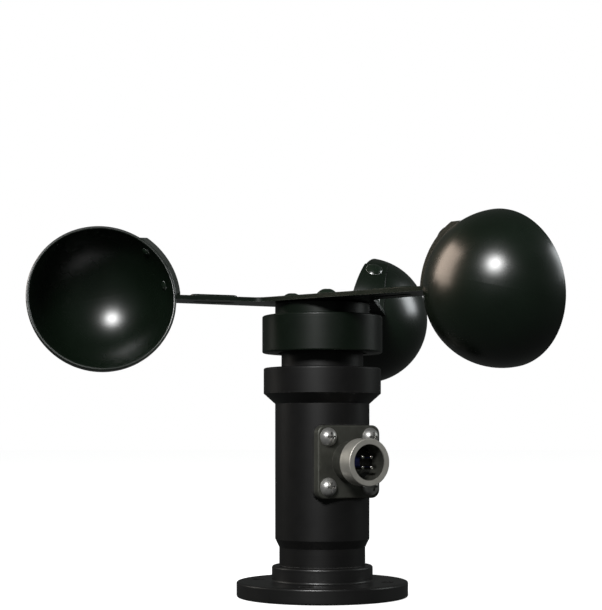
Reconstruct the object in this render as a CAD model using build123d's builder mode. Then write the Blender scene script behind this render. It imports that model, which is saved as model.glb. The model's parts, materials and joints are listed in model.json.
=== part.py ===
from build123d import *
from math import atan, cos, degrees, radians, sin, tan
import os

# Three-cup anemometer. Millimetres, +Z up the rotor axis, origin at the centre of the
# flange's underside, connector facing -Y. Gaps named *_GAP keep touching pieces apart.

# ---- Driving dimensions ---------------------------------------------------------------

SLIP_GAP = 0.05         # radial gap between pieces that sit in one another
PLATE_GAP = 0.02        # gap between faces that rest on one another

# Flange and housing, from the ground up
FLANGE_RADIUS = 30.0
FLANGE_TOP = 5.4
FLANGE_ROUND = 0.7
BOLT_CIRCLE_RADIUS = 23.0
BOLT_HOLE_RADIUS = 2.1
BOLT_HOLE_CHAMFER = 0.5
BOLT_COUNT = 4
RING_RADIUS = 17.65
RING_TOP = 10.9
RING_ROUND = 0.8
SPIGOT_RADIUS = 9.0
SPIGOT_TOP = 16.0
NECK_RADIUS = 15.05
NECK_TOP = 17.2
BODY_RADIUS = 16.5
BODY_BOTTOM = 20.2
BODY_TOP = 67.2
SHOULDER_RADIUS = 20.5
SHOULDER_BOTTOM = 70.8
SHOULDER_TOP = 79.7
SHOULDER_ROUND = 0.6
CAVITY_RADIUS = 13.0
CAVITY_FLOOR = 20.2

# Bearing housing and its two ball bearings
HOUSING_BOTTOM = 61.0
HOUSING_NECK_RADIUS = 14.3
HOUSING_TOP = 93.6
HOUSING_WAIST_RADIUS = 6.5
BEARING_RADIUS = 8.0
BEARING_WIDTH = 5.0
LOWER_BEARING_BOTTOM = 63.0
UPPER_BEARING_BOTTOM = 87.0
BALL_RADIUS = 1.5
BALL_PITCH_RADIUS = 5.25
BALL_COUNT = 7
BALL_GAP = 0.12

# Rotor hub and shaft
SHAFT_RADIUS = 2.5
SHAFT_BOTTOM = 57.6
SHAFT_TOP = 100.4
SKIRT_RADIUS = 21.0
SKIRT_INNER_RADIUS = 15.6
SKIRT_BOTTOM = 84.9
SKIRT_TOP = 97.8
SKIRT_WEB_BOTTOM = 94.4
HUB_RADIUS = 16.5
HUB_TOP = 102.3
HUB_BOSS_RADIUS = 4.0
EDGE_ROUND = 0.6

# Arms and cups, for an arm that points along +X
ARM_COUNT = 3
ARM_1_AZIMUTH = 168.4
ARM_THICKNESS = 1.5
ARM_FRONT_OFFSET = -0.3
ARM_BACK_OFFSET = -18.8
ARM_TAPER = 4.1
CUP_RADIUS = 25.0
CUP_WALL = 1.0
CUP_CENTRE = Vector(77.1, -3.6, 102.33)
CUP_OPENING_AZIMUTH = 82.53
CUP_OPENING_TILT = 10.5
TAB_THICKNESS = 1.5
TAB_RIM_INSET = 0.6     # the tab's front edge runs this far behind the cup's rim
TAB_BACK = -14.5
TAB_TOP_ANGLE = 52.3
TAB_ROUND = 5.0
RIB_START = 28.6
RIB_END = 45.6
RIB_OFFSET = -8.0
RIB_WIDTH = 5.0
RIB_HEIGHT = 1.1
RIVET_ANGLES = (13.0, 45.5)
RIVET_OFFSET = -6.3
RIVET_HEAD_RADIUS = 3.2
RIVET_HEAD_HEIGHT = 1.1
RIVET_SHANK_RADIUS = 1.2
RIVET_TAIL_RADIUS = 1.6
RIVET_TAIL_HEIGHT = 0.7
PLATE_SCREW_CIRCLE_RADIUS = 11.5
PLATE_SCREW_AZIMUTH = 126.5
PLATE_SCREW_HEAD_RADIUS = 4.0
PLATE_SCREW_HEAD_HEIGHT = 2.7

# Panel connector; depths are measured from the rotor axis towards -Y
CONNECTOR_HEIGHT = 47.2
FLAT_DEPTH = 13.7
GASKET_THICKNESS = 1.4
PLATE_SIDE = 25.0
PLATE_THICKNESS = 2.6
PLATE_CORNER = 3.0
PLATE_EDGE_ROUND = 0.7
RING_BACK_DEPTH = 24.2
RING_FRONT_DEPTH = 30.2
CONNECTOR_RING_RADIUS = 8.0
SOCKET_RADIUS = 6.1
CONNECTOR_NECK_RADIUS = 6.9
CONNECTOR_SCREW_SPACING = 16.9
CONNECTOR_SCREW_HEAD_RADIUS = 3.2
CONNECTOR_SCREW_HEAD_HEIGHT = 2.6
PIN_SPACING = 3.5
PIN_RADIUS = 0.6
INSERT_FRONT_DEPTH = 22.1
PIN_TIP_DEPTH = 29.0

# Sensor board
BOARD_BOTTOM = 53.6
BOARD_THICKNESS = 1.6
BOARD_RADIUS = 12.4
STANDOFF_CIRCLE_RADIUS = 10.5
STANDOFF_RADIUS = 2.25
STANDOFF_COUNT = 3
STANDOFF_AZIMUTH = 90.0
MAGNET_RADIUS = 1.5
MAGNET_CIRCLE_RADIUS = 4.6
HOLDER_BOTTOM = 57.0
HOLDER_TOP = 60.8
HOLDER_RADIUS = 7.0
WIRE_RADIUS = 0.6

# Metric screw sizes: thread radius, the hole that clears it and the tapped hole
M4_RADIUS = 1.95
M4_HOLE_RADIUS = 2.2
M4_TAPPED_RADIUS = 2.0
M3_RADIUS = 1.45
M3_HOLE_RADIUS = 1.6
M3_TAPPED_RADIUS = 1.5
M2_RADIUS = 0.95
M2_HOLE_RADIUS = 1.1

CONNECTOR_PLANE = Plane(origin=(0, 0, CONNECTOR_HEIGHT), x_dir=(1, 0, 0), z_dir=(0, -1, 0))
UNDERSIDE = Plane(origin=(0, 0, 0), x_dir=(1, 0, 0), z_dir=(0, 0, -1))
ARM_TOP = HUB_TOP + ARM_THICKNESS


# ---- Helpers --------------------------------------------------------------------------

def save(builder, name):
    """Label a finished piece and write it as parts/NAME.step."""
    builder.part.label = name
    export_step(builder.part, f"parts/{name}.step")


def outline(*corners):
    """Face in the XZ plane through (radius, height) corners, ready to revolve about Z."""
    with BuildSketch(Plane.XZ) as face:
        with BuildLine():
            Polyline(*corners, close=True)
        make_face()
    return face.sketch


def circles_at(builder, radius, height):
    """The circular edges of a turned piece that have this radius and height."""
    return ShapeList(
        edge
        for edge in builder.edges().filter_by(GeomType.CIRCLE)
        if abs(edge.radius - radius) < 0.01 and abs(edge.center().Z - height) < 0.01
    )


def dome(radius, height):
    """Face of half a domed head: flat base on the X axis, crown on the Z axis."""
    with BuildSketch(Plane.XZ) as face:
        with BuildLine():
            sphere_radius = (radius**2 + height**2) / (2 * height)
            crown = (0, height)
            mid_angle = atan(radius / (sphere_radius - height)) / 2
            mid = (sphere_radius * sin(mid_angle), height - sphere_radius * (1 - cos(mid_angle)))
            Line((0, 0), (radius, 0))
            ThreePointArc((radius, 0), mid, crown)
            Line(crown, (0, 0))
        make_face()
    return face.sketch


def domed_screw(head_radius, head_height, shank_radius, length, recess):
    """Screw with its head's base at Z=0, its shank along -Z and a cross or hex recess."""
    with BuildPart() as screw:
        revolve(dome(head_radius, head_height), axis=Axis.Z)
        with BuildSketch(Plane.XY):
            Circle(shank_radius)
        extrude(amount=-length)
        with BuildSketch(Plane.XY.offset(head_height)):
            if recess == "cross":
                Rectangle(head_radius, head_radius / 4)
                Rectangle(head_radius / 4, head_radius)
            else:
                RegularPolygon(head_radius * 0.38, 6)
        extrude(amount=-head_height * 0.6, mode=Mode.SUBTRACT)
    return screw.part


def arm_locations():
    """Turn a piece made for an arm along +X to each of the three arms."""
    return PolarLocations(0, ARM_COUNT, start_angle=ARM_1_AZIMUTH)


# ---- Flange and body ------------------------------------------------------------------

def make_base():
    screw_circle = 12.0
    screw_azimuth = 90.0
    screw_length = 16.0
    head_radius = 2.8
    head_cone = 90.0
    groove_bottom, groove_top, groove_depth = 12.4, 14.2, 1.4
    spigot = SPIGOT_RADIUS - SLIP_GAP

    with BuildPart() as base_flange:
        revolve(
            outline(
                (0, 0),
                (FLANGE_RADIUS, 0),
                (FLANGE_RADIUS, FLANGE_TOP),
                (RING_RADIUS, FLANGE_TOP),
                (RING_RADIUS, RING_TOP),
                (spigot, RING_TOP),
                (spigot, groove_bottom),
                (spigot - groove_depth, groove_bottom),
                (spigot - groove_depth, groove_top),
                (spigot, groove_top),
                (spigot, SPIGOT_TOP),
                (0, SPIGOT_TOP),
            ),
            axis=Axis.Z,
        )
        fillet(circles_at(base_flange, FLANGE_RADIUS, FLANGE_TOP), FLANGE_ROUND)
        fillet(circles_at(base_flange, FLANGE_RADIUS, 0), FLANGE_ROUND)
        fillet(circles_at(base_flange, RING_RADIUS, RING_TOP), RING_ROUND)
        fillet(circles_at(base_flange, RING_RADIUS, FLANGE_TOP), RING_ROUND)
        with PolarLocations(BOLT_CIRCLE_RADIUS, BOLT_COUNT, start_angle=45):
            Hole(BOLT_HOLE_RADIUS)
        chamfer(circles_at(base_flange, BOLT_HOLE_RADIUS, FLANGE_TOP), BOLT_HOLE_CHAMFER)
        with Locations(UNDERSIDE):
            with PolarLocations(screw_circle, 3, start_angle=screw_azimuth):
                CounterSinkHole(M3_HOLE_RADIUS, head_radius + 0.15, RING_TOP, head_cone)
    save(base_flange, "base_flange")

    with BuildPart() as screw:
        revolve(
            outline(
                (0, 0),
                (head_radius, 0),
                (M3_RADIUS, head_radius - M3_RADIUS),
                (M3_RADIUS, screw_length),
                (0, screw_length),
            ),
            axis=Axis.Z,
        )
        with BuildSketch():
            RegularPolygon(1.15, 6)
        extrude(amount=1.2, mode=Mode.SUBTRACT)

    with BuildPart() as flange_screws:
        with Locations((0, 0, 0.1)):
            with PolarLocations(screw_circle, 3, start_angle=-screw_azimuth):
                add(screw.part)
    save(flange_screws, "flange_screws")

    with BuildPart() as base_o_ring:
        with Locations((0, 0, (groove_bottom + groove_top) / 2)):
            Torus(SPIGOT_RADIUS - 0.75, 0.7)
    save(base_o_ring, "base_o_ring")
    return screw_circle, screw_azimuth, screw_length


def make_body(screw_circle, screw_azimuth, screw_length):
    flat_side = PLATE_SIDE + 0.4
    barrel_hole_radius = 6.2

    with BuildPart() as body_housing:
        revolve(
            outline(
                (SPIGOT_RADIUS, RING_TOP + PLATE_GAP),
                (NECK_RADIUS, RING_TOP + PLATE_GAP),
                (NECK_RADIUS, NECK_TOP),
                (BODY_RADIUS, BODY_BOTTOM),
                (BODY_RADIUS, BODY_TOP),
                (SHOULDER_RADIUS, SHOULDER_BOTTOM),
                (SHOULDER_RADIUS, SHOULDER_TOP),
                (CAVITY_RADIUS, SHOULDER_TOP),
                (CAVITY_RADIUS, CAVITY_FLOOR),
                (SPIGOT_RADIUS, CAVITY_FLOOR),
            ),
            axis=Axis.Z,
        )
        fillet(circles_at(body_housing, SHOULDER_RADIUS, SHOULDER_TOP), SHOULDER_ROUND)
        with BuildSketch(CONNECTOR_PLANE.offset(FLAT_DEPTH)):
            RectangleRounded(2 * BODY_RADIUS, flat_side, 0.6)
        extrude(amount=BODY_RADIUS, mode=Mode.SUBTRACT)
        with BuildSketch(CONNECTOR_PLANE):
            Circle(barrel_hole_radius)
            with GridLocations(CONNECTOR_SCREW_SPACING, CONNECTOR_SCREW_SPACING, 2, 2):
                Circle(M3_TAPPED_RADIUS)
        extrude(amount=BODY_RADIUS, mode=Mode.SUBTRACT)
        with BuildSketch(Plane.XY.offset(RING_TOP)):
            with PolarLocations(screw_circle, 3, start_angle=-screw_azimuth):
                Circle(M3_TAPPED_RADIUS)
        extrude(amount=screw_length - RING_TOP + 1.5, mode=Mode.SUBTRACT)
    save(body_housing, "body_housing")


# ---- Bearing housing and bearings -----------------------------------------------------

def make_bearing_housing():
    barrel = CAVITY_RADIUS - SLIP_GAP
    groove_low, groove_high, groove_depth = 74.6, 76.4, 1.4
    circlip_groove_radius = 8.7
    circlip_groove_height = 1.1
    lower_groove = LOWER_BEARING_BOTTOM - circlip_groove_height
    upper_groove = UPPER_BEARING_BOTTOM + BEARING_WIDTH

    with BuildPart() as bearing_housing:
        revolve(
            outline(
                (BEARING_RADIUS, HOUSING_BOTTOM),
                (barrel, HOUSING_BOTTOM),
                (barrel, groove_low),
                (barrel - groove_depth, groove_low),
                (barrel - groove_depth, groove_high),
                (barrel, groove_high),
                (barrel, SHOULDER_TOP + PLATE_GAP),
                (HOUSING_NECK_RADIUS, SHOULDER_TOP + PLATE_GAP),
                (HOUSING_NECK_RADIUS, HOUSING_TOP),
                (BEARING_RADIUS, HOUSING_TOP),
                (BEARING_RADIUS, upper_groove + circlip_groove_height),
                (circlip_groove_radius, upper_groove + circlip_groove_height),
                (circlip_groove_radius, upper_groove),
                (BEARING_RADIUS, upper_groove),
                (BEARING_RADIUS, UPPER_BEARING_BOTTOM),
                (HOUSING_WAIST_RADIUS, UPPER_BEARING_BOTTOM),
                (HOUSING_WAIST_RADIUS, LOWER_BEARING_BOTTOM + BEARING_WIDTH),
                (BEARING_RADIUS, LOWER_BEARING_BOTTOM + BEARING_WIDTH),
                (BEARING_RADIUS, LOWER_BEARING_BOTTOM),
                (circlip_groove_radius, LOWER_BEARING_BOTTOM),
                (circlip_groove_radius, lower_groove),
                (BEARING_RADIUS, lower_groove),
            ),
            axis=Axis.Z,
        )
        chamfer(circles_at(bearing_housing, HOUSING_NECK_RADIUS, HOUSING_TOP), 0.5)
        with BuildSketch(Plane.XY.offset(HOUSING_BOTTOM)):
            with PolarLocations(STANDOFF_CIRCLE_RADIUS, STANDOFF_COUNT, start_angle=STANDOFF_AZIMUTH):
                Circle(M2_HOLE_RADIUS)
        extrude(amount=5, mode=Mode.SUBTRACT)
    save(bearing_housing, "bearing_housing")

    with BuildPart() as housing_o_ring:
        with Locations((0, 0, (groove_low + groove_high) / 2)):
            Torus(CAVITY_RADIUS - 0.75, 0.7)
    save(housing_o_ring, "housing_o_ring")

    for name, height in (("lower", lower_groove), ("upper", upper_groove)):
        with BuildPart() as circlip:
            with BuildSketch(Plane.XY.offset(height + SLIP_GAP)):
                Circle(circlip_groove_radius - SLIP_GAP)
                Circle(circlip_groove_radius - 1.7, mode=Mode.SUBTRACT)
                with Locations((0, circlip_groove_radius)):
                    Rectangle(4, 6, mode=Mode.SUBTRACT)
            extrude(amount=circlip_groove_height - 2 * SLIP_GAP)
        save(circlip, f"{name}_bearing_circlip")


def make_bearing(name, bottom):
    """One deep-groove ball bearing: two rings, balls, crown cage and two shields."""
    middle = bottom + BEARING_WIDTH / 2
    groove_radius = BALL_RADIUS + BALL_GAP
    outer_shoulder = BALL_PITCH_RADIUS + 1.1
    inner_shoulder = BALL_PITCH_RADIUS - 1.1
    shield_step = 0.45
    shield_seat = outer_shoulder + 0.5
    low = bottom + PLATE_GAP
    high = bottom + BEARING_WIDTH - PLATE_GAP
    cage_half_width = 0.45
    cage_bottom = middle - BALL_RADIUS - 0.5

    with BuildPart() as outer_ring:
        revolve(
            outline(
                (shield_seat, low),
                (BEARING_RADIUS - SLIP_GAP, low),
                (BEARING_RADIUS - SLIP_GAP, high),
                (shield_seat, high),
                (shield_seat, high - shield_step),
                (outer_shoulder, high - shield_step),
                (outer_shoulder, low + shield_step),
                (shield_seat, low + shield_step),
            ),
            axis=Axis.Z,
        )
        with Locations((0, 0, middle)):
            Torus(BALL_PITCH_RADIUS, groove_radius, mode=Mode.SUBTRACT)
    save(outer_ring, f"{name}_bearing_outer_ring")

    with BuildPart() as inner_ring:
        with BuildSketch(Plane.XY.offset(low)):
            Circle(inner_shoulder)
            Circle(SHAFT_RADIUS + SLIP_GAP, mode=Mode.SUBTRACT)
        extrude(amount=high - low)
        with Locations((0, 0, middle)):
            Torus(BALL_PITCH_RADIUS, groove_radius, mode=Mode.SUBTRACT)
    save(inner_ring, f"{name}_bearing_inner_ring")

    with BuildPart() as balls:
        with Locations((0, 0, middle)):
            with PolarLocations(BALL_PITCH_RADIUS, BALL_COUNT):
                Sphere(BALL_RADIUS)
    save(balls, f"{name}_bearing_balls")

    with BuildPart() as cage:
        with BuildSketch(Plane.XY.offset(cage_bottom)):
            Circle(BALL_PITCH_RADIUS + cage_half_width)
            Circle(BALL_PITCH_RADIUS - cage_half_width, mode=Mode.SUBTRACT)
        extrude(amount=middle - cage_bottom + 0.3)
        with Locations((0, 0, middle)):
            with PolarLocations(BALL_PITCH_RADIUS, BALL_COUNT):
                Sphere(BALL_RADIUS + 0.1, mode=Mode.SUBTRACT)
    save(cage, f"{name}_bearing_cage")

    with BuildPart() as shields:
        for height in (low + 0.05, high - shield_step + 0.05):
            with BuildSketch(Plane.XY.offset(height)):
                Circle(shield_seat - SLIP_GAP)
                Circle(inner_shoulder + 0.35, mode=Mode.SUBTRACT)
            extrude(amount=shield_step - 0.15)
    save(shields, f"{name}_bearing_shields")


# ---- Rotor hub and shaft --------------------------------------------------------------

def make_rotor_core():
    bore = SHAFT_RADIUS + SLIP_GAP
    screw_depth = 6.0
    set_screw_height = 99.8
    set_screw_azimuth = 80.0
    set_screw_plane = Plane(
        origin=(0, 0, set_screw_height),
        z_dir=(cos(radians(set_screw_azimuth)), sin(radians(set_screw_azimuth)), 0),
    )
    clip_bottom, clip_height, clip_groove_radius = 62.25, 0.65, 2.05
    magnet_height = 2.0

    with BuildPart() as rotor_hub:
        revolve(
            outline(
                (bore, UPPER_BEARING_BOTTOM + BEARING_WIDTH + PLATE_GAP),
                (HUB_BOSS_RADIUS, UPPER_BEARING_BOTTOM + BEARING_WIDTH + PLATE_GAP),
                (HUB_BOSS_RADIUS, SKIRT_WEB_BOTTOM),
                (SKIRT_INNER_RADIUS, SKIRT_WEB_BOTTOM),
                (SKIRT_INNER_RADIUS, SKIRT_BOTTOM),
                (SKIRT_RADIUS, SKIRT_BOTTOM),
                (SKIRT_RADIUS, SKIRT_TOP),
                (HUB_RADIUS, SKIRT_TOP),
                (HUB_RADIUS, HUB_TOP),
                (0, HUB_TOP),
                (0, SHAFT_TOP + 0.1),
                (bore, SHAFT_TOP + 0.1),
            ),
            axis=Axis.Z,
        )
        fillet(circles_at(rotor_hub, SKIRT_RADIUS, SKIRT_BOTTOM), EDGE_ROUND)
        fillet(circles_at(rotor_hub, SKIRT_RADIUS, SKIRT_TOP), EDGE_ROUND)
        fillet(circles_at(rotor_hub, HUB_RADIUS, HUB_TOP), EDGE_ROUND)
        with BuildSketch(Plane.XY.offset(HUB_TOP)):
            with PolarLocations(PLATE_SCREW_CIRCLE_RADIUS, ARM_COUNT, start_angle=PLATE_SCREW_AZIMUTH):
                Circle(M4_TAPPED_RADIUS)
        extrude(amount=-screw_depth, mode=Mode.SUBTRACT)
        with BuildSketch(set_screw_plane):
            Circle(M3_TAPPED_RADIUS)
        extrude(amount=HUB_RADIUS + 1, mode=Mode.SUBTRACT)
    save(rotor_hub, "rotor_hub")

    with BuildPart() as hub_set_screw:
        with BuildSketch(set_screw_plane.offset(SHAFT_RADIUS + SLIP_GAP)):
            Circle(M3_RADIUS)
        extrude(amount=10)
        with BuildSketch(set_screw_plane.offset(SHAFT_RADIUS + SLIP_GAP + 10)):
            RegularPolygon(0.85, 6)
        extrude(amount=-1.5, mode=Mode.SUBTRACT)
    save(hub_set_screw, "hub_set_screw")

    with BuildPart() as rotor_shaft:
        revolve(
            outline(
                (0, SHAFT_BOTTOM),
                (SHAFT_RADIUS, SHAFT_BOTTOM),
                (SHAFT_RADIUS, clip_bottom),
                (clip_groove_radius, clip_bottom),
                (clip_groove_radius, clip_bottom + clip_height),
                (SHAFT_RADIUS, clip_bottom + clip_height),
                (SHAFT_RADIUS, SHAFT_TOP),
                (0, SHAFT_TOP),
            ),
            axis=Axis.Z,
        )
        chamfer(circles_at(rotor_shaft, SHAFT_RADIUS, SHAFT_TOP), 0.4)
    save(rotor_shaft, "rotor_shaft")

    with BuildPart() as shaft_circlip:
        with BuildSketch(Plane.XY.offset(clip_bottom + PLATE_GAP)):
            Circle(4.2)
            Circle(clip_groove_radius + SLIP_GAP, mode=Mode.SUBTRACT)
            with Locations((4, 0)):
                Rectangle(8, 3.6, mode=Mode.SUBTRACT)
        extrude(amount=clip_height - 2 * PLATE_GAP)
    save(shaft_circlip, "shaft_circlip")

    with BuildPart() as bearing_spacer:
        with BuildSketch(Plane.XY.offset(LOWER_BEARING_BOTTOM + BEARING_WIDTH + PLATE_GAP)):
            Circle(HUB_BOSS_RADIUS)
            Circle(bore, mode=Mode.SUBTRACT)
        extrude(amount=UPPER_BEARING_BOTTOM - LOWER_BEARING_BOTTOM - BEARING_WIDTH - 2 * PLATE_GAP)
    save(bearing_spacer, "bearing_spacer")

    with BuildPart() as magnet_holder:
        with BuildSketch(Plane.XY.offset(HOLDER_BOTTOM)):
            Circle(HOLDER_RADIUS)
        extrude(amount=HOLDER_TOP - HOLDER_BOTTOM)
        chamfer(circles_at(magnet_holder, HOLDER_RADIUS, HOLDER_TOP), 0.5)
        with BuildSketch(Plane.XY.offset(HOLDER_TOP)):
            Circle(bore)
        extrude(amount=SHAFT_BOTTOM - PLATE_GAP - HOLDER_TOP, mode=Mode.SUBTRACT)
        with BuildSketch(Plane.XY.offset(HOLDER_BOTTOM)):
            with PolarLocations(MAGNET_CIRCLE_RADIUS, 2):
                Circle(MAGNET_RADIUS + SLIP_GAP)
        extrude(amount=magnet_height + SLIP_GAP, mode=Mode.SUBTRACT)
    save(magnet_holder, "magnet_holder")

    with BuildPart() as magnets:
        with BuildSketch(Plane.XY.offset(HOLDER_BOTTOM)):
            with PolarLocations(MAGNET_CIRCLE_RADIUS, 2):
                Circle(MAGNET_RADIUS)
        extrude(amount=magnet_height)
    save(magnets, "magnets")


# ---- Arms and cups --------------------------------------------------------------------

def arm_corners():
    """Outline of the three-armed plate, anticlockwise, and the distance of its inner corners."""
    reach = CUP_CENTRE.X - CUP_RADIUS / 2
    taper = tan(radians(ARM_TAPER))
    back_at_axis = ARM_BACK_OFFSET / cos(radians(ARM_TAPER))
    step = 360 / ARM_COUNT
    # The back edge of an arm starts on the front edge of the arm before it.
    before = Vector(1, 0).rotate(Axis.Z, -step)
    front_normal = Vector(-before.Y, before.X)
    slope = Vector(1, taper)
    start = Vector(0, back_at_axis)
    travel = (ARM_FRONT_OFFSET - front_normal.dot(start)) / front_normal.dot(slope)
    root = start + slope * travel
    back_end = Vector(reach, back_at_axis + taper * reach)
    front_end = Vector(reach, ARM_FRONT_OFFSET)
    corners = []
    for arm in range(ARM_COUNT):
        turn = ARM_1_AZIMUTH + arm * step
        corners += [corner.rotate(Axis.Z, turn) for corner in (root, back_end, front_end)]
    return [(corner.X, corner.Y) for corner in corners], root.length


def cup_centres():
    """Centres of the three cup spheres."""
    step = 360 / ARM_COUNT
    return [CUP_CENTRE.rotate(Axis.Z, ARM_1_AZIMUTH + arm * step) for arm in range(ARM_COUNT)]


def cup_opening():
    """Plane of the cup's rim, whose +Z runs out of the cup."""
    tilt = radians(CUP_OPENING_TILT)
    azimuth = radians(CUP_OPENING_AZIMUTH)
    opening = (cos(tilt) * cos(azimuth), cos(tilt) * sin(azimuth), sin(tilt))
    return Plane(origin=CUP_CENTRE, z_dir=opening)


def make_arm_spider():
    corners, root_radius = arm_corners()
    rib_length = RIB_END - RIB_START
    rib_wall = 1.1
    rib_middle = ((RIB_START + RIB_END) / 2, RIB_OFFSET)
    tab_width = ARM_FRONT_OFFSET - TAB_BACK
    tab_outer = CUP_RADIUS + SLIP_GAP + TAB_THICKNESS
    tab_top = CUP_CENTRE.Z + tab_outer * sin(radians(TAB_TOP_ANGLE))
    tab_bottom = HUB_TOP
    plate_screw_length = 6.5

    with BuildPart() as tab:
        with BuildSketch(Plane.YZ.offset(CUP_CENTRE.X)) as tab_face:
            with Locations(((ARM_FRONT_OFFSET + TAB_BACK) / 2, (tab_top + tab_bottom) / 2)):
                Rectangle(tab_width, tab_top - tab_bottom)
            fillet(tab_face.vertices().group_by(Axis.Z)[-1].sort_by(Axis.Y)[0], TAB_ROUND)
        extrude(amount=-2 * CUP_RADIUS)
        with Locations(CUP_CENTRE):
            Sphere(tab_outer, mode=Mode.INTERSECT)
            Sphere(CUP_RADIUS + SLIP_GAP, mode=Mode.SUBTRACT)
        split(bisect_by=cup_opening().offset(-TAB_RIM_INSET), keep=Keep.BOTTOM)
        for plane in rivet_planes():
            with Locations(plane):
                Cylinder(RIVET_SHANK_RADIUS + SLIP_GAP, 4 * CUP_RADIUS, mode=Mode.SUBTRACT)

    with BuildPart() as arm_spider:
        with BuildSketch(Plane.XY.offset(HUB_TOP + PLATE_GAP)) as plate:
            with BuildLine():
                Polyline(*corners, close=True)
            make_face()
            roots = [vertex for vertex in plate.vertices() if vertex.center().length < root_radius + 120]
            roots = ShapeList(roots).sort_by_distance((0, 0, HUB_TOP))[:ARM_COUNT]
            fillet(roots, 5)
            with PolarLocations(PLATE_SCREW_CIRCLE_RADIUS, ARM_COUNT, start_angle=PLATE_SCREW_AZIMUTH):
                Circle(M4_HOLE_RADIUS, mode=Mode.SUBTRACT)
        extrude(amount=ARM_THICKNESS - PLATE_GAP)
        with Locations(*cup_centres()):
            Sphere(CUP_RADIUS + SLIP_GAP, mode=Mode.SUBTRACT)
        with BuildSketch(Plane.XY.offset(ARM_TOP)):
            with arm_locations():
                with Locations(rib_middle):
                    SlotOverall(rib_length, RIB_WIDTH)
        extrude(amount=RIB_HEIGHT)
        fillet(arm_spider.faces().group_by(Axis.Z)[-1].edges(), RIB_HEIGHT * 0.75)
        with BuildSketch(Plane.XY.offset(HUB_TOP)):
            with arm_locations():
                with Locations(rib_middle):
                    SlotOverall(rib_length - 2 * rib_wall, RIB_WIDTH - 2 * rib_wall)
        extrude(amount=RIB_HEIGHT, mode=Mode.SUBTRACT)
        with arm_locations():
            add(tab.part)
    save(arm_spider, "arm_spider")

    plate_screw = domed_screw(
        PLATE_SCREW_HEAD_RADIUS, PLATE_SCREW_HEAD_HEIGHT, M4_RADIUS, plate_screw_length, "hex"
    )
    with BuildPart() as plate_screws:
        with Locations((0, 0, ARM_TOP)):
            with PolarLocations(PLATE_SCREW_CIRCLE_RADIUS, ARM_COUNT, start_angle=PLATE_SCREW_AZIMUTH):
                add(plate_screw)
    save(plate_screws, "plate_screws")


def rivet_planes():
    """Planes at the cup's centre whose +Z runs out through each rivet."""
    sideways = RIVET_OFFSET / (CUP_RADIUS + TAB_THICKNESS)
    inwards = (1 - sideways**2) ** 0.5
    planes = []
    for angle in RIVET_ANGLES:
        direction = (-inwards * cos(radians(angle)), sideways, inwards * sin(radians(angle)))
        planes.append(Plane(origin=CUP_CENTRE, z_dir=direction))
    return planes


def make_cups():
    head_base = CUP_RADIUS + SLIP_GAP + TAB_THICKNESS + PLATE_GAP
    tail_base = CUP_RADIUS - CUP_WALL - 0.12

    with BuildPart() as cup:
        with Locations(rivet_planes()[0]):
            Sphere(CUP_RADIUS)
            Sphere(CUP_RADIUS - CUP_WALL, mode=Mode.SUBTRACT)
        split(bisect_by=cup_opening(), keep=Keep.BOTTOM)
        fillet(cup.edges().filter_by(cup_opening()), CUP_WALL * 0.3)
        for plane in rivet_planes():
            with Locations(plane.offset(CUP_RADIUS)):
                Cylinder(RIVET_SHANK_RADIUS + SLIP_GAP, 4 * CUP_WALL, mode=Mode.SUBTRACT)

    with BuildPart() as rivet:
        with Locations((0, 0, head_base)):
            add(revolve(dome(RIVET_HEAD_RADIUS, RIVET_HEAD_HEIGHT), axis=Axis.Z, mode=Mode.PRIVATE))
        with BuildSketch(Plane.XY.offset(tail_base)):
            Circle(RIVET_SHANK_RADIUS)
        extrude(amount=head_base - tail_base)
        with Locations(Location((0, 0, tail_base), (180, 0, 0))):
            add(revolve(dome(RIVET_TAIL_RADIUS, RIVET_TAIL_HEIGHT), axis=Axis.Z, mode=Mode.PRIVATE))

    with BuildPart() as rivet_pair:
        with Locations(*rivet_planes()):
            add(rivet.part)

    step = 360 / ARM_COUNT
    for arm in range(ARM_COUNT):
        turn = Location((0, 0, 0), (0, 0, ARM_1_AZIMUTH + arm * step))
        with BuildPart() as turned_cup:
            with Locations(turn):
                add(cup.part)
        save(turned_cup, f"cup_{arm + 1}")
        with BuildPart() as turned_rivets:
            with Locations(turn):
                add(rivet_pair.part)
        save(turned_rivets, f"cup_{arm + 1}_rivets")


# ---- Connector ------------------------------------------------------------------------

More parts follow.
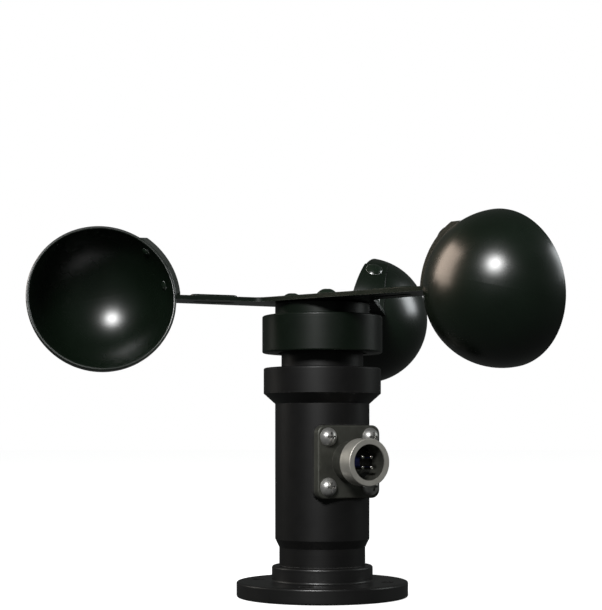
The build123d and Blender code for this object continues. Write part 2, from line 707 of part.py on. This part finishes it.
def make_connector():
    plate_back = FLAT_DEPTH + GASKET_THICKNESS
    plate_front = plate_back + PLATE_THICKNESS
    barrel_radius = 5.9
    barrel_bore = 5.0
    barrel_back = 9.0
    ring_lip = 0.6
    neck_front = RING_FRONT_DEPTH - ring_lip - SLIP_GAP
    insert_back = 8.5
    insert_shoulder = plate_front - 0.5
    pin_back = 7.0
    screw_length = 7.0

    with BuildPart() as connector_gasket:
        with BuildSketch(CONNECTOR_PLANE.offset(FLAT_DEPTH + PLATE_GAP)):
            RectangleRounded(PLATE_SIDE, PLATE_SIDE, PLATE_CORNER)
            Circle(barrel_radius + 0.3, mode=Mode.SUBTRACT)
            with GridLocations(CONNECTOR_SCREW_SPACING, CONNECTOR_SCREW_SPACING, 2, 2):
                Circle(M3_HOLE_RADIUS, mode=Mode.SUBTRACT)
        extrude(amount=GASKET_THICKNESS - 2 * PLATE_GAP)
    save(connector_gasket, "connector_gasket")

    with BuildPart() as connector_shell:
        with BuildSketch(CONNECTOR_PLANE.offset(plate_back)):
            RectangleRounded(PLATE_SIDE, PLATE_SIDE, PLATE_CORNER)
        extrude(amount=PLATE_THICKNESS)
        fillet(connector_shell.faces().sort_by(Axis.Y)[0].edges(), PLATE_EDGE_ROUND)
        with BuildSketch(CONNECTOR_PLANE.offset(plate_front)):
            Circle(CONNECTOR_NECK_RADIUS)
        extrude(amount=neck_front - plate_front)
        with BuildSketch(CONNECTOR_PLANE.offset(barrel_back)):
            Circle(barrel_radius)
        extrude(amount=plate_back - barrel_back)
        with BuildSketch(CONNECTOR_PLANE.offset(insert_shoulder)):
            Circle(SOCKET_RADIUS)
        extrude(amount=neck_front, mode=Mode.SUBTRACT)
        with BuildSketch(CONNECTOR_PLANE):
            Circle(barrel_bore)
            with GridLocations(CONNECTOR_SCREW_SPACING, CONNECTOR_SCREW_SPACING, 2, 2):
                Circle(M3_HOLE_RADIUS)
        extrude(amount=neck_front, mode=Mode.SUBTRACT)
    save(connector_shell, "connector_shell")

    with BuildPart() as connector_ring:
        with BuildSketch(CONNECTOR_PLANE.offset(RING_BACK_DEPTH)):
            Circle(CONNECTOR_RING_RADIUS)
            Circle(CONNECTOR_NECK_RADIUS + SLIP_GAP, mode=Mode.SUBTRACT)
        extrude(amount=RING_FRONT_DEPTH - ring_lip - RING_BACK_DEPTH)
        with BuildSketch(CONNECTOR_PLANE.offset(RING_FRONT_DEPTH - ring_lip)):
            Circle(CONNECTOR_RING_RADIUS)
            Circle(SOCKET_RADIUS, mode=Mode.SUBTRACT)
        extrude(amount=ring_lip)
        ring_edges = connector_ring.edges().filter_by(GeomType.CIRCLE)
        outer_edges = ring_edges.filter_by(lambda edge: abs(edge.radius - CONNECTOR_RING_RADIUS) < 0.01)
        fillet(outer_edges.sort_by(Axis.Y)[0], 0.35)
    save(connector_ring, "connector_ring")

    with BuildPart() as connector_insert:
        with BuildSketch(CONNECTOR_PLANE.offset(insert_shoulder + PLATE_GAP)):
            Circle(SOCKET_RADIUS - SLIP_GAP)
        extrude(amount=INSERT_FRONT_DEPTH - insert_shoulder - PLATE_GAP)
        with BuildSketch(CONNECTOR_PLANE.offset(insert_back)):
            Circle(barrel_bore - SLIP_GAP)
        extrude(amount=insert_shoulder + PLATE_GAP - insert_back)
        with BuildSketch(CONNECTOR_PLANE):
            with GridLocations(PIN_SPACING, PIN_SPACING, 2, 2):
                Circle(PIN_RADIUS + 0.03)
        extrude(amount=RING_FRONT_DEPTH, mode=Mode.SUBTRACT)
    save(connector_insert, "connector_insert")

    with BuildPart() as connector_pins:
        with BuildSketch(CONNECTOR_PLANE.offset(pin_back)):
            with GridLocations(PIN_SPACING, PIN_SPACING, 2, 2):
                Circle(PIN_RADIUS)
        extrude(amount=PIN_TIP_DEPTH - pin_back)
        fillet(connector_pins.faces().group_by(Axis.Y)[0].edges(), PIN_RADIUS * 0.8)
    save(connector_pins, "connector_pins")

    connector_screw = domed_screw(
        CONNECTOR_SCREW_HEAD_RADIUS, CONNECTOR_SCREW_HEAD_HEIGHT, M3_RADIUS, screw_length, "cross"
    )
    with BuildPart() as connector_screws:
        with Locations(CONNECTOR_PLANE.offset(plate_front)):
            with GridLocations(CONNECTOR_SCREW_SPACING, CONNECTOR_SCREW_SPACING, 2, 2):
                add(connector_screw)
    save(connector_screws, "connector_screws")
    return pin_back


# ---- Sensor board ---------------------------------------------------------------------

def make_board():
    board_top = BOARD_BOTTOM + BOARD_THICKNESS
    sensor_side, sensor_height = 3.0, 0.8
    chip_side, chip_height = 5.0, 1.0
    capacitor_radius, capacitor_height = 2.0, 5.0
    screw_head_radius, screw_head_height = 1.8, 1.2

    with BuildPart() as sensor_board:
        with BuildSketch(Plane.XY.offset(BOARD_BOTTOM)):
            Circle(BOARD_RADIUS)
            with PolarLocations(STANDOFF_CIRCLE_RADIUS, STANDOFF_COUNT, start_angle=STANDOFF_AZIMUTH):
                Circle(M2_HOLE_RADIUS, mode=Mode.SUBTRACT)
        extrude(amount=BOARD_THICKNESS)
    save(sensor_board, "sensor_board")

    with BuildPart() as hall_sensor:
        with BuildSketch(Plane.XY.offset(board_top + PLATE_GAP)):
            with Locations((MAGNET_CIRCLE_RADIUS, 0)):
                Rectangle(sensor_side, sensor_side)
        extrude(amount=sensor_height)
        chamfer(hall_sensor.faces().sort_by(Axis.Z)[-1].edges(), 0.2)
    save(hall_sensor, "hall_sensor")

    with BuildPart() as board_components:
        with BuildSketch(Plane.XY.offset(BOARD_BOTTOM - PLATE_GAP)):
            with Locations((-5, -2)):
                Rectangle(chip_side, chip_side)
        extrude(amount=-chip_height)
        with BuildSketch(Plane.XY.offset(BOARD_BOTTOM - PLATE_GAP)):
            with Locations((6.5, 3), (-6.5, 5)):
                Circle(capacitor_radius)
        extrude(amount=-capacitor_height)
    save(board_components, "board_components")

    with BuildPart() as board_standoffs:
        with BuildSketch(Plane.XY.offset(board_top + PLATE_GAP)):
            with PolarLocations(STANDOFF_CIRCLE_RADIUS, STANDOFF_COUNT, start_angle=STANDOFF_AZIMUTH):
                RegularPolygon(STANDOFF_RADIUS, 6)
                Circle(M2_HOLE_RADIUS, mode=Mode.SUBTRACT)
        extrude(amount=HOUSING_BOTTOM - board_top - 2 * PLATE_GAP)
    save(board_standoffs, "board_standoffs")

    with BuildPart() as board_screws:
        with BuildSketch(Plane.XY.offset(BOARD_BOTTOM - PLATE_GAP - screw_head_height)):
            with PolarLocations(STANDOFF_CIRCLE_RADIUS, STANDOFF_COUNT, start_angle=STANDOFF_AZIMUTH):
                Circle(screw_head_radius)
        extrude(amount=screw_head_height)
        with BuildSketch(Plane.XY.offset(BOARD_BOTTOM - screw_head_height)):
            with PolarLocations(STANDOFF_CIRCLE_RADIUS, STANDOFF_COUNT, start_angle=STANDOFF_AZIMUTH):
                Circle(M2_RADIUS)
        extrude(amount=HOUSING_BOTTOM + 4 - BOARD_BOTTOM + screw_head_height)
    save(board_screws, "board_screws")


def make_lead_wires(pin_back):
    """Four short leads from the connector's pins up to the underside of the board."""
    bend_radius = 3.0
    solder_gap = 0.1

    with BuildPart() as lead_wires:
        for side in (-1, 1):
            for level in (-1, 1):
                across = side * PIN_SPACING / 2
                height = CONNECTOR_HEIGHT + level * PIN_SPACING / 2
                rise = 0.5 - level * 1.5
                start = (across, -pin_back + solder_gap, height)
                with BuildLine():
                    route = FilletPolyline(
                        start,
                        (across, rise, height),
                        (across, rise, BOARD_BOTTOM - solder_gap),
                        radius=bend_radius,
                    )
                with BuildSketch(Plane(origin=start, z_dir=(0, 1, 0))):
                    Circle(WIRE_RADIUS)
                sweep(path=route)
    save(lead_wires, "lead_wires")


os.makedirs("parts", exist_ok=True)
make_body(*make_base())
make_bearing_housing()
make_bearing("lower", LOWER_BEARING_BOTTOM)
make_bearing("upper", UPPER_BEARING_BOTTOM)
make_rotor_core()
make_arm_spider()
make_cups()
make_lead_wires(make_connector())
make_board()
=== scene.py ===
import json
from math import cos, pi, radians, sin

import bpy
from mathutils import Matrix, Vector


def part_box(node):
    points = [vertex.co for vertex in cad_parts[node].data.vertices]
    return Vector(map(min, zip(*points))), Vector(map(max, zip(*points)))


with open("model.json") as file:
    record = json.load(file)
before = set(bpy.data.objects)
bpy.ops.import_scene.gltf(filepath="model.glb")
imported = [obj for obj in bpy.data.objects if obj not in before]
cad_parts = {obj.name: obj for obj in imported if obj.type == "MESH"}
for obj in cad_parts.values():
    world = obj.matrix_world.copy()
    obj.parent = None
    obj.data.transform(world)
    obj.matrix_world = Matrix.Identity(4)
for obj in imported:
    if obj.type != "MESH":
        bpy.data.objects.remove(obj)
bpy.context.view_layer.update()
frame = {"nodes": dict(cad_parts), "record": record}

# ---- The camera's place, and directions as seen from it --------------------------------

VIEW_AZIMUTH = radians(-121.5)       # where the camera stands round the rotor's axis, from +X
CAMERA_DISTANCE = 0.5154
EYE_HEIGHT = 0.05565
LENS_MM = 86.91
FRAME_SHIFT = (-0.0349, 0.2164)     # the object stands right of the frame's centre and low in it

LIGHT_CENTRE = Vector((0, 0, 0.09))  # the lights stand round this point
LIGHT_TARGET = Vector((0, 0, 0.1))   # and face this one

MM = 0.001
WHITE = (1.0, 1.0, 1.0)


def from_camera(azimuth, elevation, distance, centre=LIGHT_CENTRE):
    """A point round the object: azimuth 0 is towards the camera and positive is to its right."""
    turn = VIEW_AZIMUTH + radians(azimuth)
    rise = radians(elevation)
    return centre + distance * Vector((cos(turn) * cos(rise), sin(turn) * cos(rise), sin(rise)))


def make_camera():
    camera = bpy.data.objects.new("camera", bpy.data.cameras.new("camera"))
    bpy.context.collection.objects.link(camera)
    camera.data.sensor_width = 36
    camera.data.lens = LENS_MM
    camera.data.shift_x, camera.data.shift_y = FRAME_SHIFT
    camera.location = from_camera(0, 0, CAMERA_DISTANCE, Vector((0, 0, EYE_HEIGHT)))
    camera.rotation_euler = (pi / 2, 0, VIEW_AZIMUTH + pi / 2)
    bpy.context.scene.camera = camera


# ---- Lights and stage ------------------------------------------------------------------

def soft_light(name, azimuth, elevation, distance, size, watts, colour, shape="RECTANGLE"):
    """An area light that faces the rotor."""
    data = bpy.data.lights.new(name, "AREA")
    data.shape = shape
    data.size, data.size_y = size
    data.energy = watts
    data.color = colour
    light = bpy.data.objects.new(name, data)
    bpy.context.collection.objects.link(light)
    light.location = from_camera(azimuth, elevation, distance)
    aim = LIGHT_TARGET - light.location
    light.rotation_euler = aim.to_track_quat("-Z", "Y").to_euler()
    light.visible_camera = False
    return light


def reach(light, on_cups):
    """Let a light reach only the cups and arms, or everything but them."""
    lit = bpy.data.collections.new(light.name + "_reach")
    for name, node in frame["nodes"].items():
        if name.startswith(("cup_", "arm_", "plate_")) == on_cups:
            lit.objects.link(node)
    light.light_linking.receiver_collection = lit


def make_lights():
    """A key makes the cups' round highlights, and side lights make the bands on cups and post."""
    soft_light("key_disc", -14, 29, 1.0, (0.21, 0.21), 8.7, WHITE, "DISK")
    glow = soft_light("key_glow", -14, 29, 1.0, (0.42, 0.42), 7.5, WHITE, "DISK")
    right_panel = soft_light("right_panel", 98, 24, 1.1, (0.46, 0.54), 8.6, (0.94, 0.98, 1.0))
    left_panel = soft_light("left_panel", -101, 26, 1.1, (0.74, 0.80), 14.0, (1.0, 0.81, 0.67))
    for light in (glow, right_panel, left_panel):
        reach(light, on_cups=True)
    right_wash = soft_light("right_wash", 105, 18, 1.1, (0.42, 0.54), 1.1, (0.95, 1.0, 0.98))
    left_wash = soft_light("left_wash", -105, 18, 1.1, (0.42, 0.54), 1.2, (1.0, 0.95, 0.88))
    for light in (right_wash, left_wash):
        reach(light, on_cups=False)
    fill = soft_light("top_fill", 20, 80, 1.2, (0.7, 0.7), 3.0, WHITE, "DISK")
    fill.visible_glossy = False


def set_tones():
    """Plain display tones, so that white paper shows as white."""
    bpy.context.scene.view_settings.view_transform = "Standard"


def make_world():
    """White behind the object for the camera, dim grey for what the object reflects."""
    world = bpy.data.worlds.new("studio")
    bpy.context.scene.world = world
    world.use_nodes = True
    nodes, links = world.node_tree.nodes, world.node_tree.links
    nodes.clear()
    output = nodes.new("ShaderNodeOutputWorld")
    mix = nodes.new("ShaderNodeMixShader")
    path = nodes.new("ShaderNodeLightPath")
    dim = nodes.new("ShaderNodeBackground")
    dim.inputs["Color"].default_value = (0.95, 1.0, 0.97, 1)
    dim.inputs["Strength"].default_value = 0.06
    bright = nodes.new("ShaderNodeBackground")
    bright.inputs["Color"].default_value = (*WHITE, 1)
    bright.inputs["Strength"].default_value = 1.0
    links.new(path.outputs["Is Camera Ray"], mix.inputs["Fac"])
    links.new(dim.outputs["Background"], mix.inputs[1])
    links.new(bright.outputs["Background"], mix.inputs[2])
    links.new(mix.outputs["Shader"], output.inputs["Surface"])


def make_floor():
    """A wide pale disc under the flange that the object's shadow falls on."""
    radius, sides = 6.0, 96
    turns = [2 * pi * side / sides for side in range(sides)]
    ring = [(radius * cos(turn), radius * sin(turn), 0) for turn in turns]
    mesh = bpy.data.meshes.new("floor")
    mesh.from_pydata(ring, [], [list(range(sides))])
    floor = bpy.data.objects.new("floor", mesh)
    floor.location.z = -0.2 * MM
    bpy.context.collection.objects.link(floor)
    floor.visible_glossy = False
    floor.visible_diffuse = False
    material = bpy.data.materials.new("floor_paper")
    material.use_nodes = True
    shader = material.node_tree.nodes["Principled BSDF"]
    shader.inputs["Base Color"].default_value = (0.95, 0.95, 0.95, 1)
    shader.inputs["Roughness"].default_value = 0.9
    shader.inputs["Emission Color"].default_value = (*WHITE, 1)
    shader.inputs["Emission Strength"].default_value = 0.93
    mesh.materials.append(material)


# ---- Materials -------------------------------------------------------------------------

# A Mix node has sockets of one name for each type of data, so its colour sockets go by number.
MIX_FIRST, MIX_SECOND, MIX_RESULT = 6, 7, 2


class Surface:
    """A node material under construction: one Principled shader and helpers to feed it."""

    def __init__(self, name, metallic=0.0, **fixed):
        self.material = bpy.data.materials.new(name)
        self.material.use_nodes = True
        self.tree = self.material.node_tree
        self.shader = self.tree.nodes["Principled BSDF"]
        self.shader.inputs["Metallic"].default_value = metallic
        for socket, value in fixed.items():
            self.shader.inputs[socket.replace("_", " ")].default_value = value
        self.place = self.node("ShaderNodeTexCoord").outputs["Object"]

    def node(self, kind, **settings):
        made = self.tree.nodes.new(kind)
        for key, value in settings.items():
            setattr(made, key, value)
        return made

    def link(self, source, target):
        self.tree.links.new(source, target)

    def noise(self, size_mm, detail=2.0, stretch=(1, 1, 1), place=None):
        """Noise from 0 to 1 whose blotches are about size_mm across."""
        mapping = self.node("ShaderNodeMapping")
        self.link(place or self.place, mapping.inputs["Vector"])
        mapping.inputs["Scale"].default_value = [axis / (size_mm * MM) for axis in stretch]
        texture = self.node("ShaderNodeTexNoise")
        self.link(mapping.outputs["Vector"], texture.inputs["Vector"])
        texture.inputs["Scale"].default_value = 1.0
        texture.inputs["Detail"].default_value = detail
        return texture.outputs["Fac"]

    def turned(self):
        """Place as (distance from the Z axis, 0, height): constant along a lathe's cuts."""
        split = self.node("ShaderNodeSeparateXYZ")
        self.link(self.place, split.inputs["Vector"])
        flat = self.node("ShaderNodeCombineXYZ")
        self.link(split.outputs["X"], flat.inputs["X"])
        self.link(split.outputs["Y"], flat.inputs["Y"])
        radius = self.node("ShaderNodeVectorMath", operation="LENGTH")
        self.link(flat.outputs["Vector"], radius.inputs[0])
        rings = self.node("ShaderNodeCombineXYZ")
        self.link(radius.outputs["Value"], rings.inputs["X"])
        self.link(split.outputs["Z"], rings.inputs["Z"])
        return rings.outputs["Vector"]

    def span(self, value, low, high, start=0.3, stop=0.7):
        """Map a value onto low..high, as it goes from start to stop."""
        spread = self.node("ShaderNodeMapRange")
        spread.inputs["From Min"].default_value = start
        spread.inputs["From Max"].default_value = stop
        spread.inputs["To Min"].default_value = low
        spread.inputs["To Max"].default_value = high
        self.link(value, spread.inputs["Value"])
        return spread.outputs["Result"]

    def blend(self, amount, first, second):
        """Colour between first and second, each an RGB tuple or another colour socket."""
        mix = self.node("ShaderNodeMix", data_type="RGBA")
        self.link(amount, mix.inputs["Factor"])
        for socket, colour in ((mix.inputs[MIX_FIRST], first), (mix.inputs[MIX_SECOND], second)):
            if isinstance(colour, tuple):
                socket.default_value = (*colour, 1)
            else:
                self.link(colour, socket)
        return mix.outputs[MIX_RESULT]

    def edge_wear_and_sheen(self, width_mm):
        """From 0 on open faces to 1 along sharp edges, broken up by noise."""
        first_wear, full_wear = 0.02, 0.25
        bevel = self.node("ShaderNodeBevel", samples=6)
        bevel.inputs["Radius"].default_value = width_mm * MM
        geometry = self.node("ShaderNodeNewGeometry")
        dot = self.node("ShaderNodeVectorMath", operation="DOT_PRODUCT")
        self.link(bevel.outputs["Normal"], dot.inputs[0])
        self.link(geometry.outputs["Normal"], dot.inputs[1])
        edge = self.span(dot.outputs["Value"], 1.0, 0.0, start=1 - full_wear, stop=1 - first_wear)
        patches = self.span(self.noise(1.5, detail=4), 0.2, 1.0)
        worn = self.node("ShaderNodeMath", operation="MULTIPLY")
        self.link(edge, worn.inputs[0])
        self.link(patches, worn.inputs[1])
        return worn.outputs["Value"]

    def polished(self, rough, edge, gain):
        """The roughness, lowered by gain where edge is 1."""
        smoother = self.node("ShaderNodeMath", operation="MULTIPLY_ADD")
        self.link(edge, smoother.inputs[0])
        smoother.inputs[1].default_value = -gain
        self.link(rough, smoother.inputs[2])
        return smoother.outputs["Value"]

    def colour(self, socket):
        self.link(socket, self.shader.inputs["Base Color"])

    def roughness(self, socket):
        self.link(socket, self.shader.inputs["Roughness"])

    def bump(self, height, depth_mm):
        bump = self.node("ShaderNodeBump")
        bump.inputs["Strength"].default_value = 1.0
        bump.inputs["Distance"].default_value = depth_mm * MM
        self.link(height, bump.inputs["Height"])
        self.link(bump.outputs["Normal"], self.shader.inputs["Normal"])


def glossy_coat():
    """Black gloss coat with a green cast, slight orange peel and dust: cups and arms."""
    surface = Surface("rotor_coat", IOR=1.5)
    broad = surface.noise(18, detail=3)
    dust = surface.noise(0.5, detail=3)
    base = surface.blend(surface.span(broad, 0, 1), (0.0014, 0.0034, 0.0016), (0.0024, 0.0052, 0.0028))
    dusty = surface.blend(surface.span(dust, 0, 0.03, start=0.6, stop=0.8), base, (0.06, 0.065, 0.06))
    # Lighter along sharp edges: partly wear, partly a painted highlight along the arms' edges.
    edge = surface.span(surface.edge_wear_and_sheen(0.25), 0, 0.5)
    surface.colour(surface.blend(edge, dusty, (0.11, 0.12, 0.11)))
    surface.roughness(surface.span(surface.noise(14, detail=2), 0.24, 0.31, start=0.2, stop=0.8))
    surface.bump(surface.noise(0.9, detail=1), 0.003)
    return surface.material


def rivet_finish():
    """Rivets and plate screws: the rotor's black coat rubbed glossy, worn bright round the rim."""
    surface = Surface("rubbed_coat", IOR=1.5)
    blotches = surface.noise(1.2, detail=4)
    base = surface.blend(surface.span(blotches, 0, 1), (0.0030, 0.0060, 0.0034), (0.0060, 0.0100, 0.0064))
    edge = surface.span(surface.edge_wear_and_sheen(0.25), 0, 0.7)
    surface.colour(surface.blend(edge, base, (0.30, 0.31, 0.30)))
    surface.roughness(surface.span(surface.noise(0.6, detail=3), 0.16, 0.24))
    surface.bump(surface.noise(0.4, detail=2), 0.004)
    return surface.material


def hub_finish():
    """Satin black anodising with a green cast over fine lathe rings."""
    surface = Surface("hub_anodised", IOR=1.5, Specular_IOR_Level=0.38)
    rings = surface.noise(0.35, detail=3, place=surface.turned())
    blotches = surface.noise(5, detail=4)
    base = surface.blend(surface.span(blotches, 0, 1), (0.0022, 0.0054, 0.0026), (0.0036, 0.0076, 0.0040))
    edge = surface.edge_wear_and_sheen(0.4)
    surface.colour(surface.blend(surface.span(edge, 0, 0.5, start=0, stop=1), base, (0.12, 0.12, 0.12)))
    surface.roughness(surface.polished(surface.span(rings, 0.33, 0.42), edge, 0.16))
    surface.bump(rings, 0.006)
    return surface.material


def housing_finish(name, dark, light, rough, shine):
    """Neutral satin black anodising over fine lathe rings: housings and flange."""
    surface = Surface(name, IOR=1.5, Specular_IOR_Level=shine)
    rings = surface.noise(0.3, detail=3, place=surface.turned())
    blotches = surface.noise(6, detail=5)
    base = surface.blend(surface.span(blotches, 0, 1), dark, light)
    edge = surface.edge_wear_and_sheen(0.5)
    surface.colour(surface.blend(surface.span(edge, 0, 0.5, start=0, stop=1), base, (0.22, 0.215, 0.21)))
    surface.roughness(surface.polished(surface.span(rings, *rough), edge, 0.18))
    surface.bump(rings, 0.006)
    return surface.material


def plate_finish():
    """Dull nickel of the connector's plate, grey-brown and slightly pitted."""
    surface = Surface("connector_nickel", metallic=0.7)
    pits = surface.noise(0.5, detail=5)
    stains = surface.noise(4, detail=4)
    base = surface.blend(surface.span(stains, 0, 1), (0.082, 0.083, 0.071), (0.116, 0.117, 0.101))
    surface.colour(surface.blend(surface.edge_wear_and_sheen(0.3), base, (0.30, 0.30, 0.27)))
    surface.roughness(surface.span(pits, 0.42, 0.58))
    surface.bump(pits, 0.01)
    return surface.material


def ring_finish():
    """Pale bead-blasted ring with a warm cast."""
    surface = Surface("ring_satin", metallic=0.75)
    grain = surface.noise(0.18, detail=3)
    stains = surface.noise(3, detail=3)
    surface.colour(surface.blend(surface.span(stains, 0, 1), (0.58, 0.56, 0.51), (0.68, 0.66, 0.60)))
    surface.roughness(surface.span(grain, 0.42, 0.55))
    surface.bump(grain, 0.01)
    return surface.material


def steel_finish(name, colour, rough, metallic=1.0):
    """Bright metal with fine scratches and a little tarnish."""
    surface = Surface(name, metallic=metallic)
    scratches = surface.noise(0.25, detail=4, stretch=(1, 4, 1))
    tarnish = surface.noise(1.6, detail=4)
    darker = tuple(channel * 0.72 for channel in colour)
    surface.colour(surface.blend(surface.span(tarnish, 0, 1), darker, colour))
    surface.roughness(surface.span(scratches, *rough))
    surface.bump(scratches, 0.003)
    return surface.material


def plastic_finish(name, dark, light, rough):
    """Moulded plastic, rubber or lacquer: mottled colour and a fine moulded grain."""
    surface = Surface(name)
    grain = surface.noise(0.3, detail=3)
    surface.colour(surface.blend(surface.span(surface.noise(2.5, detail=4), 0, 1), dark, light))
    surface.roughness(surface.span(grain, *rough))
    surface.bump(grain, 0.006)
    return surface.material


def insert_finish():
    """Blue stripe at mid height, short of the +X side, where light reaches; the black round it is painted
    shade.
    """
    fade_side = (1.1 * MM, 1.3 * MM)
    fade_height = (2.1 * MM, 2.4 * MM)
    surface = Surface("socket_insulator")
    grain = surface.noise(0.3, detail=3)
    place = surface.node("ShaderNodeSeparateXYZ")
    surface.link(surface.place, place.inputs["Vector"])
    low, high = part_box("connector_insert")
    middle = (low[2] + high[2]) / 2
    beside = surface.span(place.outputs["X"], 1, 0, *fade_side)
    height = surface.node("ShaderNodeMath", operation="SUBTRACT")
    surface.link(place.outputs["Z"], height.inputs[0])
    height.inputs[1].default_value = middle
    off_middle = surface.node("ShaderNodeMath", operation="ABSOLUTE")
    surface.link(height.outputs["Value"], off_middle.inputs[0])
    level = surface.span(off_middle.outputs["Value"], 1, 0, *fade_height)
    lit_stripe = surface.node("ShaderNodeMath", operation="MULTIPLY")
    surface.link(beside, lit_stripe.inputs[0])
    surface.link(level, lit_stripe.inputs[1])
    # Painted shade: the face is black wherever the ring shades it, and blue only where light gets in.
    black = surface.blend(surface.span(grain, 0, 1), (0.004, 0.005, 0.005), (0.008, 0.009, 0.009))
    surface.colour(surface.blend(lit_stripe.outputs["Value"], black, (0.025, 0.045, 0.34)))
    surface.roughness(surface.span(grain, 0.25, 0.35))
    surface.bump(grain, 0.006)
    return surface.material


def board_finish():
    """Green solder mask with faint copper tracks under it."""
    surface = Surface("solder_mask")
    tracks = surface.node("ShaderNodeTexBrick")
    mapping = surface.node("ShaderNodeMapping")
    surface.link(surface.place, mapping.inputs["Vector"])
    mapping.inputs["Scale"].default_value = [1 / MM] * 3
    surface.link(mapping.outputs["Vector"], tracks.inputs["Vector"])
    tracks.inputs["Scale"].default_value = 0.6
    tracks.inputs["Mortar Size"].default_value = 0.05
    tracks.inputs["Color1"].default_value = (0.010, 0.075, 0.030, 1)
    tracks.inputs["Color2"].default_value = (0.014, 0.095, 0.038, 1)
    tracks.inputs["Mortar"].default_value = (0.05, 0.20, 0.07, 1)
    surface.colour(tracks.outputs["Color"])
    surface.roughness(surface.span(surface.noise(1.0), 0.25, 0.4))
    surface.bump(surface.noise(0.4), 0.01)
    return surface.material


def make_materials():
    """One material for each of the record's slots."""
    anodised, anodised_light = (0.0042, 0.0041, 0.0041), (0.0066, 0.0064, 0.0063)
    rubber, rubber_light = (0.012, 0.012, 0.012), (0.020, 0.020, 0.020)
    oxide, oxide_light = (0.010, 0.011, 0.010), (0.018, 0.019, 0.018)
    epoxy, epoxy_light = (0.010, 0.010, 0.010), (0.016, 0.016, 0.016)
    cage, cage_light = (0.30, 0.20, 0.09), (0.40, 0.28, 0.13)
    holder, holder_light = (0.03, 0.03, 0.032), (0.05, 0.05, 0.054)
    jacket, jacket_light = (0.30, 0.02, 0.015), (0.42, 0.035, 0.03)
    return {
        "rotor_black": glossy_coat(),
        "housing_black": housing_finish("housing_anodised", anodised, anodised_light, (0.40, 0.48), 0.39),
        "flange_black": housing_finish("flange_anodised", anodised, anodised_light, (0.33, 0.41), 0.72),
        "connector_plate": plate_finish(),
        "connector_ring": ring_finish(),
        "insulator": insert_finish(),
        "bright_steel": steel_finish("screw_steel", (0.66, 0.65, 0.63), (0.30, 0.42), metallic=0.8),
        "black_steel": plastic_finish("black_oxide", oxide, oxide_light, (0.25, 0.38)),
        "bearing_steel": steel_finish("bearing_steel", (0.60, 0.60, 0.61), (0.10, 0.18)),
        "rubber_seal": plastic_finish("seal_rubber", rubber, rubber_light, (0.6, 0.8)),
        "contact_metal": steel_finish("contact_plating", (0.60, 0.59, 0.55), (0.14, 0.24)),
        "cage_plastic": plastic_finish("cage_plastic", cage, cage_light, (0.45, 0.6)),
        "holder_plastic": plastic_finish("holder_plastic", holder, holder_light, (0.5, 0.6)),
        "magnet_metal": steel_finish("magnet_plating", (0.62, 0.62, 0.63), (0.10, 0.20)),
        "board_laminate": board_finish(),
        "chip_black": plastic_finish("component_black", epoxy, epoxy_light, (0.4, 0.6)),
        "wire_insulation": plastic_finish("wire_jacket", jacket, jacket_light, (0.35, 0.5)),
    }


def dress_nodes(materials):
    """Give every CAD node its slot's material; the hub, rivets and plate screws have their own."""
    subparts = frame["record"]["subparts"]
    finish = {part["node"]: materials[part["material_slot"]] for part in subparts}
    finish["rotor_hub"] = hub_finish()
    rubbed = rivet_finish()
    for name in ("plate_screws", "cup_1_rivets", "cup_2_rivets", "cup_3_rivets"):
        finish[name] = rubbed
    for name, material in finish.items():
        mesh = frame["nodes"][name].data
        mesh.materials.clear()
        mesh.materials.append(material)


set_tones()
make_world()
make_floor()
make_lights()
make_camera()
dress_nodes(make_materials())
